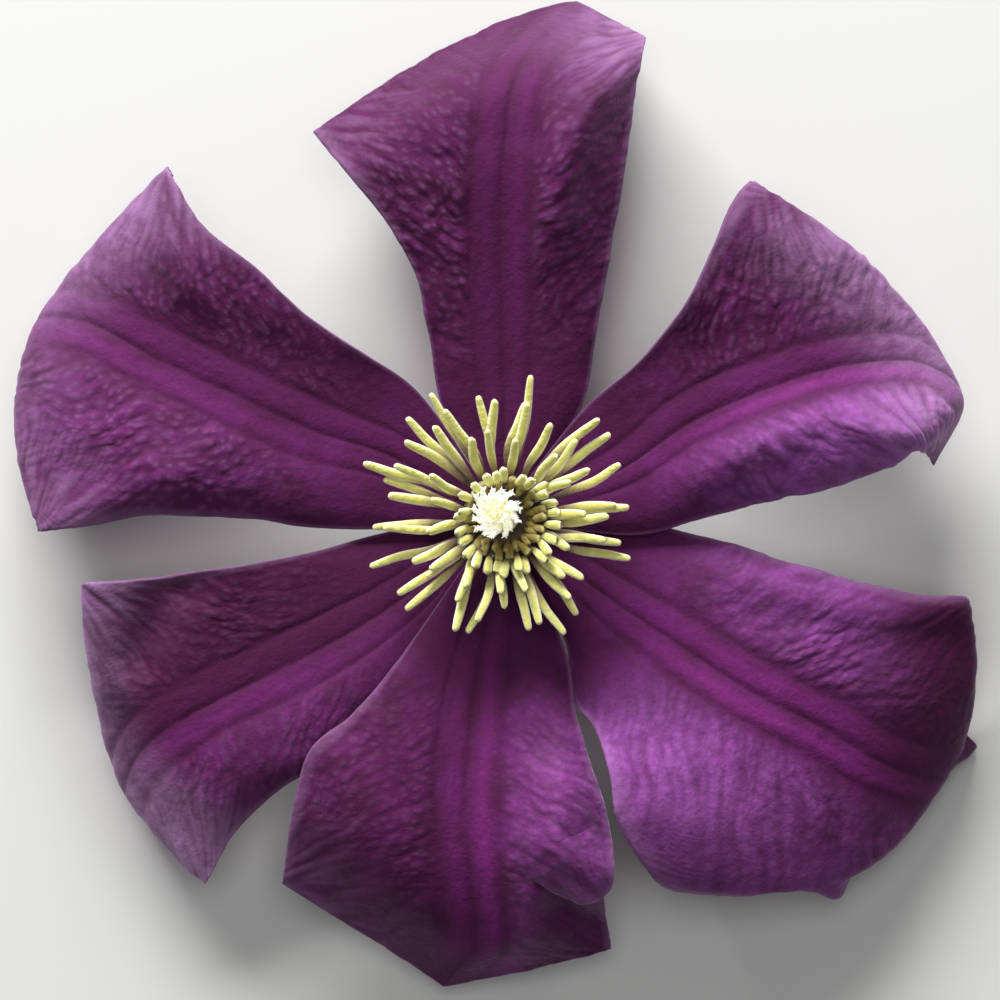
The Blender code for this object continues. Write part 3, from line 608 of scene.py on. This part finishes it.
def anthers():
    m = Nodes("stamen")
    t, edge, inner = m.attribute("length"), m.attribute("edge"), m.attribute("inner")
    anther = m.mix(m.ranged(edge, 0.30, 0.95), ANTHER_FACE, ANTHER_EDGE)
    anther = m.mix(m.times(m.attribute("tone"), 0.30), anther, ANTHER_DEEP)
    filament = m.mix(m.ranged(t, 0.16, 0.58), FILAMENT_FOOT, FILAMENT_TOP)
    m.paint(filament, (
        (m.ranged(t, 0.44, 0.66), anther),
        (m.times(m.attribute("stub"), m.ranged(t, 0.66, 0.78, 1.0, 0.0)), SHORT_FOOT),
        (m.ranged(t, 0.95, 1.0, 0.0, 0.8), ANTHER_TIP),
        # painted shade: the inner whorls' anthers go dark olive under the tuft
        (m.times(inner, m.ranged(t, 0.86, 1.0, 0.92, 0.60)), OLIVE_SHADE),
        (m.ranged(m.noise(1100.0, 2.0), 0.45, 0.75, 0.0, 0.20), POLLEN),
    ))
    m.surface({
        "Roughness": 0.55,
        "Subsurface Weight": 0.12,
        "Subsurface Radius": (0.4, 0.4, 0.2),
        "Subsurface Scale": 0.0005,
    })
    lumps = m.times(m.noise(1300.0, 2.0), 2.0)
    m.bump(m.math("ADD", m.noise(3800.0, 2.0), lumps), 0.6, 0.00010)
    return m.mat


def ring_skin():
    m = Nodes("stamen_ring")
    m.paint(RING_DARK, ((m.noise(700.0), RING_PALE),))
    m.surface({"Roughness": 0.7})
    return m.mat


def silk():
    m = Nodes("styles")
    m.paint(STYLE_FOOT, (
        (m.ranged(m.attribute("length"), 0.3, 0.7), STYLE_WHITE),
        (m.ranged(m.noise(700.0, 2.0), 0.5, 0.75, 0.0, 0.30), STYLE_CREAM),
        (m.times(m.attribute("centre"), 0.60), STYLE_HEART),
    ))
    m.surface({
        "Roughness": 0.6,
        "Subsurface Weight": 0.6,
        "Subsurface Radius": (0.6, 0.6, 0.4),
        "Subsurface Scale": 0.0006,
        "Sheen Weight": 0.3,
        # painted light: a faint glow in place of the light that the hairs scatter
        "Emission Color": (*STYLE_PAINTED_GLOW, 1.0),
        "Emission Strength": 0.19,
    })
    return m.mat


def stalk_skin():
    m = Nodes("stalk")
    m.paint(STALK_GREEN, (
        (m.ranged(m.noise(420.0, 3.0, 0.6, (1, 1, 0.4)), 0.35, 0.7), STALK_RED),
        (m.ranged(m.attribute("length"), 0.985, 1.0), STALK_CUT),
    ))
    m.surface({"Roughness": 0.6, "Sheen Weight": 0.25})
    m.bump(m.noise(1500.0, 3.0), 0.5, 0.0001)
    return m.mat


def floor_skin():
    m = Nodes("floor")
    m.surface({"Base Color": (*FLOOR_PALE, 1.0), "Roughness": 0.9, "Specular IOR Level": 0.1})
    return m.mat


# ------------------------------------------------------------------- tepals
def tepal_sheet(spec, u, v):
    """Points of the tepal's middle surface, mm: u 0..1 outward, v -1..1 across."""
    rows = np.array([[*l, *m, *r, kl, kr] for l, m, r, kl, kr in spec["stations"]], float)
    q = along_stations(rows, u * (len(rows) - 1))
    left = v >= 0
    side = np.where(left[..., None], q[..., 0:3], q[..., 6:9])
    mid = q[..., 3:6]
    lobe = np.where(left, q[..., 9], q[..., 10])
    full = np.where(left, *spec["full"])
    power = 2.0 + (full - 2.0) * step_up(u, 0.6, 1.0)
    span = np.abs(side[..., 1] - mid[..., 1])
    rib = np.where(left, *spec["ribs"]) * (0.55 + 0.45 * step_up(u, 0.0, 0.35))
    groove = np.clip(rib / np.maximum(span, 1e-6), 0.0, 0.42)
    w = np.abs(v)
    s = np.where(w < 0.3, w / 0.3 * groove, groove + (w - 0.3) / 0.7 * (1.0 - groove))
    out = mid[..., 0] + (side[..., 0] - mid[..., 0]) * s ** power
    across = mid[..., 1] + (side[..., 1] - mid[..., 1]) * s
    height = (mid[..., 2] + (side[..., 2] - mid[..., 2]) * s ** (2.0 - 0.6 * step_up(u, 0.7, 1.0))
              + lobe * 6.75 * s * s * (1.0 - s))
    for place, (reach, slide), width in spec["teeth"]:
        tooth = np.exp(-((v - place) / width) ** 2) * step_up(u, 0.86, 1.0)
        out = out + reach * tooth
        across = across + slide * tooth
    for width, rise, line in spec["folds"]:
        gap, run = nearest_on(line, out, across)
        height = height + rise * step_up(run, 0.0, 0.4) * np.exp(-(gap / width) ** 2)
    return np.stack([out, across, height], -1)


def rib_lines(u, v, seed):
    """Three soft grooves, the two strips between them, and how far both have faded in and out."""
    w = np.abs(v)
    wander = noise2(u * 9, v * 4, seed + 50)
    line = bell(w + 0.006 * wander, 0.044) + 0.9 * bell(w - 0.3 + 0.014 * wander, 0.055)
    line = line * (0.75 + 0.40 * noise2(u * 5, v * 3, seed + 52))
    strip = bell(w - 0.15, 0.09)
    fade = step_up(u, 0.02, 0.15) * (1.0 - 0.75 * step_up(u, 0.72, 0.97))
    return line, strip, fade


def furrow_places(degrees, out, aside, seed):
    """Places across and along the furrows, which leave the ribs forward and outward, mm."""
    slant = math.radians(degrees)
    p = -out * math.sin(slant) + aside * math.cos(slant) + 0.9 * noise2(out / 6.5, aside / 5.5, seed + 10)
    q = out * math.cos(slant) + aside * math.sin(slant) + 0.7 * noise2(out / 4, aside / 4, seed + 11)
    return p, q


def corner_pleats(spec, left, out, aside, shift, seed):
    """Pleats that run together just past the corner of the end, and how near that corner is (0..1)."""
    left_corner, _, right_corner, _, _ = spec["stations"][-1]
    corner_out = np.where(left, left_corner[0], right_corner[0]) + 1.0
    corner_aside = np.where(left, left_corner[1], -right_corner[1]) + 3.0
    reach = np.hypot(out - corner_out, aside - corner_aside)
    angle = np.arctan2(corner_out - out, corner_aside - aside)
    bent = angle + 0.04 * noise2(reach / 3.0, angle * 2.0, seed + 41)
    near = noise2(bent * 11.0 + shift, reach / 5.0, seed + 40)
    far = noise2(bent * 24.0 + shift, reach / 5.0, seed + 42)
    return near + (far - near) * step_up(reach, 6.0, 11.0), 1.0 - step_up(reach, 6.0, 16.0)


def curled_lobe(out, across):
    """Height of the bottom tepal's curled lobe, and how far its end is tucked behind its edge (0..1)."""
    beyond = out - np.interp(across, CURL_ACROSS, CURL_OUT)
    place = step_up(across, 5.4, 8.2)
    tucked = step_up(beyond, -0.12, 0.25) * place
    roll = CURL_RISE * bell(np.minimum(beyond, 0.0), 2.2) * (1.0 - tucked)
    return place * (roll - TUCK_DEPTH * tucked * bell(beyond, 2.5)), tucked


def pinch_lines(lines, out, across):
    """Sharp creases along the lines, deepest where they begin."""
    pinch = np.zeros(out.shape)
    for line in lines:
        gap, run = nearest_on(line, out, across)
        pinch = np.maximum(pinch, bell(gap, PINCH_WIDTH) * (1.0 - run))
    return pinch


def between_lobes(pair, v):
    """The left and the right lobe's number, joined smoothly over the middle rib."""
    return pair[1] + (pair[0] - pair[1]) * step_up(v, -0.35, 0.35)


def tepal_relief(name, spec, u, v, sheet):
    """Height of the fine relief off the sheet (mm), and by name the fields that the shader reads."""
    look = SURFACE[name]
    seed = list(TEPALS).index(name) + 1
    left, w = v >= 0, np.abs(v)
    shift = np.where(left, 17.0, 91.0)        # moves the noise, so that the two lobes differ
    out, across = sheet[..., 0], sheet[..., 1]
    aside = np.abs(across)
    lobe = step_up(w, 0.27, 0.42)             # 1 outside the outer grooves
    grow = step_up(u, 0.14, 0.5)              # 1 away from the claw

    line, strip, fade = rib_lines(u, v, seed)
    p, q = furrow_places(look["furrows"], out, aside, seed)
    pleat, corner = corner_pleats(spec, left, out, aside, shift, seed)
    pinch = pinch_lines(look["pinches"], out, across)
    curl, tucked = curled_lobe(out, across) if name == "tepal_bottom" else (0.0, np.zeros(u.shape))
    furrow = noise2(p / 0.85 + shift, q / 6.5, seed + 22)
    cells = np.hypot(noise2(p / 1.05 + shift, q / 2.0, seed + 20), CELL_FLOOR)
    swell = noise2(p / 2.4 + shift, q / 4.0, seed + 23)
    patch = step_up(noise2(out / 7 + shift, aside / 6, seed + 24), -0.55, 0.35) * 0.6 + 0.4

    amount = np.where(left, *look["quilt"]) * lobe * grow
    quilt = (CELL_HEIGHT * cells + FURROW_HEIGHT * furrow + SWELL_HEIGHT * swell) * patch
    rough = amount * (quilt * (1.0 - 0.7 * corner) + PLEAT_HEIGHT * pleat * corner)
    middle = MIDDLE_HEIGHT * noise2(out / 1.6, across / 0.8, seed + 70) * (1.0 - lobe) * grow
    wave = (MARGIN_HEIGHT * step_up(w, 0.55, 1.0) * noise2(u * 7 + shift, w * 2, seed + 60)
            * step_up(u, 0.15, 0.4) * (1.0 - step_up(u, 0.9, 1.0)))
    ribs = (-GROOVE_DEPTH * line + STRIP_RISE * strip) * fade
    height = ribs + (rough + middle) + wave + curl - PINCH_DEPTH * pinch

    # painted light on each lobe, setting in away from the claw
    light = np.where(left, *look["light"]) * step_up(u, 0.14, 0.46)
    begin = step_up(u, look["start"], look["start"] + END_RUN)
    return height, {
        "along": u,
        "side": v,
        # the strips, lighter still where the lobe has painted light
        "strip": strip * fade * (1.0 + 0.8 * light),
        # painted shade in the rib grooves, fading with them
        "line": line * fade,
        # painted shade in the creases between the pads
        "painted_crease_shade": np.clip(amount * patch * (1.0 - corner) * bell(cells - CELL_FLOOR, CREASE_WIDTH), 0, 1),
        # painted highlight on the pleats' ridges, and painted shade in their valleys
        "painted_pleat_highlight": np.clip(corner * lobe * grow * (0.3 + 1.1 * pleat), 0, 1),
        "painted_pleat_shade": np.clip(corner * lobe * grow * (-0.1 - 1.5 * pleat), 0, 1),
        "pebbles": np.clip(amount * (0.35 + 0.65 * patch) * (1.0 - 0.6 * corner), 0, 1),
        "streak": lobe * grow * np.clip(0.5 + 0.8 * furrow, 0, 1),
        # painted light on the lobes outside the outer grooves
        "light": light * step_up(w, 0.22, 0.5) * (0.68 + 0.40 * step_up(w, 0.45, 0.8)),
        # painted shade, joined over the middle rib, always at half strength at the claw
        "painted_shade": 0.50 + (between_lobes(look["painted_shade"], v) - 0.50) * step_up(u, 0.03, 0.30),
        # the end's painted sheen (below 0: its painted shade), less at the side margins by margin
        "end": between_lobes(look["end"], v) * begin * (1.0 - look["margin"] * step_up(w, 0.66, 0.95)),
        # painted shadow where the end is tucked behind the curled lobe
        "tucked": tucked,
        # painted shade along the sharp creases, deepest where they begin
        "pinch": pinch,
        "across_furrows": p + shift,
        "along_furrows": q,
    }


def grid_normals(points):
    n = np.cross(np.gradient(points, axis=0), np.gradient(points, axis=1))
    return n / np.maximum(np.linalg.norm(n, axis=-1, keepdims=True), 1e-12)


def margin_of(grid):
    """The grid's numbers along its margin, once round."""
    return np.concatenate([grid[:-1, 0], grid[-1, :-1], grid[:0:-1, -1], grid[0, :0:-1]]).tolist()


def blade_faces(high, low):
    """Faces of the upper face, the coarser lower one and the rim between the two grids of point numbers."""
    faces = np.stack([high[:-1, :-1], high[1:, :-1], high[1:, 1:], high[:-1, 1:]], -1).reshape(-1, 4).tolist()
    faces += np.stack([low[:-1, :-1], low[:-1, 1:], low[1:, 1:], low[1:, :-1]], -1).reshape(-1, 4).tolist()
    over, under = margin_of(high), margin_of(low)
    for i, corner in enumerate(under):
        above = [over[(UNDER_STEP * i + j) % len(over)] for j in range(UNDER_STEP, -1, -1)]
        faces.append(above + [corner, under[(i + 1) % len(under)]])
    return faces


def build_tepal(name, spec):
    """The blade: a fine upper face, a coarser lower one and the rim between them."""
    u, v = np.meshgrid(np.linspace(0, 1, MESH_ROWS + 1), np.linspace(-1, 1, MESH_COLUMNS + 1), indexing="ij")
    sheet = tepal_sheet(spec, u, v)
    relief, fields = tepal_relief(name, spec, u, v, sheet)
    normals = grid_normals(sheet)
    fields["pebbles"] = fields["pebbles"] * step_up(np.abs(normals[..., 2]), 0.35, 0.75)
    fields["back"] = np.zeros(u.shape)
    mid = sheet + normals * relief[..., None]
    thick = BLADE - MARGIN_THINS * step_up(np.abs(v), 0.75, 1.0) - END_THINS * step_up(u, 0.9, 1.0)
    half = grid_normals(mid) * thick[..., None] / 2
    coarse = np.s_[::UNDER_STEP, ::UNDER_STEP]
    under = {key: field[coarse] for key, field in fields.items()}
    under["back"] = np.ones(u[coarse].shape)

    az = math.radians(spec["az"])
    turn = np.array([[math.cos(az), math.sin(az), 0], [-math.sin(az), math.cos(az), 0], [0, 0, 1]])
    points = np.concatenate([(mid + half).reshape(-1, 3), (mid - half)[coarse].reshape(-1, 3)]) @ turn
    points[:, 2] = np.maximum(points[:, 2], 0.0)
    high = np.arange(u.size).reshape(u.shape)
    low = np.arange(u[coarse].size).reshape(u[coarse].shape) + u.size
    fields = {key: np.concatenate([fields[key].ravel(), under[key].ravel()]) for key in fields}
    slot = "tepal_shaded" if name == "tepal_lower_left" else "tepal_violet"
    add_piece(name + "_velvet", points, blade_faces(high, low), fields, velvet(name), name, slot)


# ------------------------------------------------------------------ stamens
def stamen_paths():
    """Whorl, place in it, azimuth, middle line (root first) and half width of every stamen."""
    rng = random.Random(STAMEN_SEED)
    for whorl, row in enumerate(STAMEN_WHORLS):
        count, reach, reach_spread, top, top_spread, root, first, arc, jitter, half, share = row
        for i in range(count):
            az = first + arc * i / count + rng.uniform(-jitter, jitter)
            tip_r = reach + rng.uniform(-reach_spread, reach_spread)
            tip_z = top + rng.uniform(-top_spread, top_spread)
            bend = rng.uniform(-6.0, 6.0)
            low = RING_Z[1] - 0.5
            path = []
            for f in (0.0, 0.42, 0.94, 1.0):
                r = root + (tip_r - root) * f
                rise = 1.0 - (1.0 - f) ** 1.9
                path.append(leant(r, az + bend * f * f, low + (tip_z - low) * rise, share))
            yield whorl, i, az, path, half


def swayed(core, f, az, rng):
    """A long stamen's middle line, bent sideways in a slight S, and its widths."""
    side = np.array(polar(1.0, az + 90, 0.0))
    sway = rng.uniform(-0.45, 0.45) * np.sin(f * math.pi * 1.4)
    sway = sway + rng.uniform(-0.16, 0.16) * np.sin(f * math.pi * 3.6)
    places = (0, 0.25, 0.45, 0.62, 0.84, 0.93, 0.97, 0.99, 1.0)
    widths = (0.38, 0.50, 0.80, 1.0, 0.90, 0.78, 0.68, 0.52, 0.26)
    return core + side * (sway * f)[:, None], np.interp(f, places, widths)


def nodding(core, f, az, rng):
    """A short stamen's middle line, bent over at the top, and its widths."""
    lean = np.array(polar(1.0, az + rng.uniform(-35, 35), 0.0))
    core = core + lean * (0.55 * step_up(f, 0.62, 1.0))[:, None]
    core[:, 2] -= 0.35 * step_up(f, 0.8, 1.0)
    places = (0, 0.5, 0.72, 0.84, 0.94, 0.985, 1.0)
    widths = (0.5, 0.6, 0.85, 1.06, 1.06, 0.80, 0.36)
    return core, np.interp(f, places, widths)


def anther_groove(angle):
    return 1.0 - 0.10 * bell(angle - math.pi / 2, 0.4)


def stamen(whorl, i, az, path, half, rng):
    """One stamen: slim at the root, widest past the middle, tapering to a round tip."""
    long = whorl < LONG_WHORLS
    f = 1.0 - (1.0 - np.linspace(0, 1, STAMEN_RINGS)) ** 1.6        # closer together towards the tip
    core = read_along(smooth_path(path, PATH_POINTS), np.linspace(0, 1, PATH_POINTS), f)
    bent = swayed if long else nodding
    core, widths = bent(core, f, az, rng)
    width = widths * (half + 0.03) * rng.uniform(0.92, 1.10)
    thick = width * np.interp(f, (0, 0.5, 1.0), (0.9, 0.70, 0.85))
    up = np.array([0.0, 0.0, 1.0]) - 0.6 * np.array(polar(1.0, az, 0.0))
    points, faces, _, around = tube(core, width, thick, up, STAMEN_SIDES, anther_groove)
    inner = whorl >= len(STAMEN_WHORLS) - INNER_WHORLS
    return points, faces, {
        "length": np.concatenate([np.repeat(f, STAMEN_SIDES), [0.0, 1.0]]),
        "edge": np.abs(np.cos(around)) ** 1.3,
        "inner": np.full(len(points), 1.0 if inner else 0.0),
        "stub": np.full(len(points), 0.0 if long else 1.0),
        "tone": np.full(len(points), 0.5 + 0.5 * math.sin(2.4 * i + whorl)),
    }


def build_stamens():
    rng = random.Random(STAMEN_SEED + 1)
    parts = [stamen(*each, rng) for each in stamen_paths()]
    add_piece("stamens_fine", *gathered(parts), anthers(), "stamens", "stamen_cream")
    low, high = RING_Z
    ring = turned((
        (RING_HOLE_R, high - 0.3), (RING_HOLE_R + 0.25, high), (RING_R - 0.35, high),
        (RING_R, high - 0.4), (RING_R - 0.1, low), (RING_HOLE_R, low)), RING_STEPS)
    add_piece("stamen_ring", *ring, {}, ring_skin(), "stamens", "stamen_cream")


# ------------------------------------------------------------------ pistils
def style_paths():
    """Styles stand up from the dome and turn outward and round like a swirl."""
    rng = random.Random(STYLE_SEED)
    for count, reach, top in STYLE_RINGS:
        for i in range(count):
            az = 360.0 * i / count + rng.uniform(-6, 6)
            tip_r = reach + rng.uniform(-0.2, 0.2)
            root = min(1.0, reach * 0.5)
            tip_z = top + rng.uniform(-0.3, 0.3)
            path = []
            for f, rise in ((0.0, 0.0), (0.25, 0.55), (0.6, 0.92), (1.0, 1.0)):
                height = STYLE_FOOT_Z + (tip_z - STYLE_FOOT_Z) * rise
                path.append(leant(root + (tip_r - root) * f, az - STYLE_TURN * f, height))
            yield path


def silky_hairs(core, f, rng):
    """Short hairs that lean forward along the outer half of a style."""
    tangent = directions(core)
    radii = np.array(HAIR_RADII)
    for _ in range(HAIRS):
        place = rng.uniform(0.55, 0.99)
        root, ahead = read_along(core, f, place), read_along(tangent, f, place)
        out = np.array([rng.gauss(0, 1), rng.gauss(0, 1), rng.gauss(0, 0.2)])
        out -= ahead * out.dot(ahead)
        out /= np.linalg.norm(out)
        reach = rng.uniform(0.22, 0.42)
        middle = root + out * reach * 0.55 + ahead * reach * 0.30
        tip = root + out * reach * 0.85 + ahead * reach * 0.75
        line = smooth_path([root, middle, tip], len(radii))
        points, faces, along, _ = tube(line, radii, radii, (0.3, 0.2, 1.0), HAIR_SIDES)
        yield points, faces, {"length": 0.5 + 0.5 * along}


def build_pistils():
    rng = random.Random(STYLE_SEED + 1)
    f = np.linspace(0, 1, STYLE_POINTS)
    width = np.interp(f, (0, 0.5, 0.8, 1.0), (0.24, 0.42, 0.34, 0.06))
    parts = []
    for path in style_paths():
        core = smooth_path(path, STYLE_POINTS)
        points, faces, along, _ = tube(core, width, width * 0.45, (0.0, 0.0, 1.0), STYLE_SIDES)
        parts.append((points, faces, {"length": along}))
        parts.extend(silky_hairs(core, f, rng))
    low, high = DOME_Z
    dome, faces = turned((
        (0.02, high), (0.75, high - 0.15), (1.15, high - 0.6),
        (DOME_R, high - 1.4), (DOME_R, low), (0.02, low)), DOME_STEPS)
    parts.append((dome, faces, {"length": np.zeros(len(dome))}))
    for points, _, fields in parts:
        rise = points[:, 2] - RING_Z[0]
        away = np.hypot(points[:, 0] - LEAN[0] * rise, points[:, 1] - LEAN[1] * rise)
        fields["centre"] = 1.0 - step_up(away, 0.3, 1.5)
    add_piece("pistils_fine", *gathered(parts), silk(), "pistils", "style_white")


# ------------------------------------------------------------------ pedicel
def stalk_ribs(angle):
    return 1.0 + 0.045 * np.cos(6 * angle)


def build_pedicel():
    core = smooth_path(STALK_PATH, STALK_RINGS)
    last = len(STALK_RADII) - 1
    r = np.interp(np.linspace(0, last, STALK_RINGS), range(last + 1), STALK_RADII)
    r = np.convolve(np.pad(r, 3, mode="edge"), np.ones(7) / 7, "valid")     # the mean of seven neighbours
    points, faces, along, _ = tube(core, r, r, (1.0, 0.25, 0.0), STALK_SIDES, stalk_ribs)
    add_piece("pedicel_fine", points, faces, {"length": along}, stalk_skin(), "pedicel", "stalk_green")


# -------------------------------------------------------------------- stage
def build_floor():
    mesh = bpy.data.meshes.new("floor")
    bm = bmesh.new()
    bmesh.ops.create_grid(bm, x_segments=1, y_segments=1, size=FLOOR_HALF)
    bm.to_mesh(mesh)
    bm.free()
    mesh.materials.append(floor_skin())
    floor = bpy.data.objects.new("floor", mesh)
    bpy.context.scene.collection.objects.link(floor)


def lamp(name, place, size, power):
    light = bpy.data.lights.new(name, "AREA")
    light.shape = "RECTANGLE"
    light.size, light.size_y = size
    light.energy = power
    obj = bpy.data.objects.new(name, light)
    obj.location = place
    obj.rotation_euler = (Vector(LAMP_TARGET) - Vector(place)).to_track_quat("-Z", "Y").to_euler()
    bpy.context.scene.collection.objects.link(obj)


def build_sky():
    world = bpy.data.worlds.new("studio")
    bpy.context.scene.world = world
    world.use_nodes = True
    background = world.node_tree.nodes["Background"]
    background.inputs["Color"].default_value = (*SKY, 1.0)
    background.inputs["Strength"].default_value = SKY_STRENGTH


def build_camera():
    camera = bpy.data.cameras.new("camera")
    camera.sensor_width = SENSOR_WIDTH
    camera.lens = SENSOR_WIDTH / (VIEW_WIDTH / VIEW_DISTANCE)
    camera.clip_start = 0.01
    view = bpy.data.objects.new("camera", camera)
    view.location = CAMERA_PLACE
    bpy.context.scene.collection.objects.link(view)
    bpy.context.scene.camera = view


for tepal, spec in TEPALS.items():
    build_tepal(tepal, spec)
build_stamens()
build_pistils()
build_pedicel()
build_floor()
for lamp_name, settings in LAMPS.items():
    lamp(lamp_name, *settings)
build_sky()
build_camera()
bpy.context.scene.view_settings.view_transform = "Standard"
bpy.context.view_layer.update()
